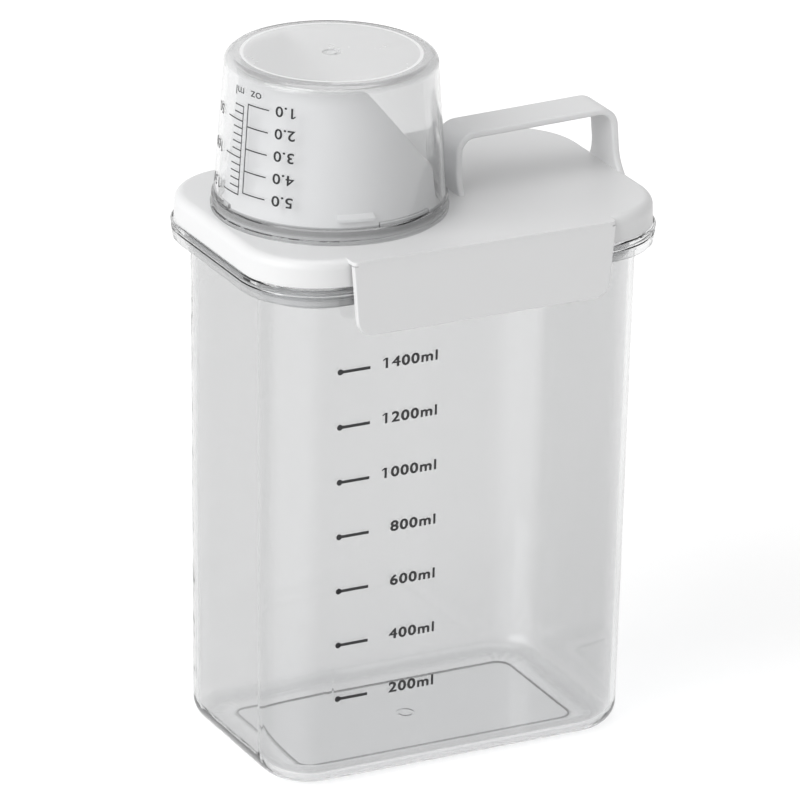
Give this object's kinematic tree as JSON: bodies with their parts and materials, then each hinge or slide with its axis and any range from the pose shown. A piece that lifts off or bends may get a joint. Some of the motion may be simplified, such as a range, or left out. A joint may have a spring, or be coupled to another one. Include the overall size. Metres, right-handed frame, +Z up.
{
  "type": "laundry detergent dispenser",
  "caption": "Clear rectangular detergent container with a white handled lid, two locking wings and a measuring cup that caps the pouring spout.",
  "frame": {"origin": "middle of the base, on the surface it stands on", "axes": "+Z up, +X towards the handle's end, -Y is the front with the graduations"},
  "size_m": [0.15, 0.1048, 0.2428],
  "materials": {
    "clear_body": "clear, polished, water white",
    "clear_cup": "clear, polished, water white",
    "white_lid": "white, fine satin moulded surface",
    "seal": "soft translucent white silicone",
    "print": "dark grey screen-printed ink"
  },
  "bodies": {
    "container_and_lid": {"container": "clear_body", "lid": "white_lid", "seal_ring": "seal"},
    "front_wing": {"front_wing": "white_lid"},
    "back_wing": {"back_wing": "white_lid"},
    "measuring_cup": {"measuring_cup": "clear_cup"}
  },
  "joints": [
    {"name": "front_wing_hinge", "type": "hinge", "parent": "container_and_lid", "child": "front_wing", "pos_m": [0, -0.0524, 0.18837], "axis": [-1, 0, 0], "range_deg": [0, 110]},
    {"name": "back_wing_hinge", "type": "hinge", "parent": "container_and_lid", "child": "back_wing", "pos_m": [0, 0.0524, 0.18837], "axis": [1, 0, 0], "range_deg": [0, 110]},
    {"name": "cup_lift", "type": "slide", "parent": "container_and_lid", "child": "measuring_cup", "axis": [0, 0, 1], "range_m": [0, 0.07]}
  ]
}
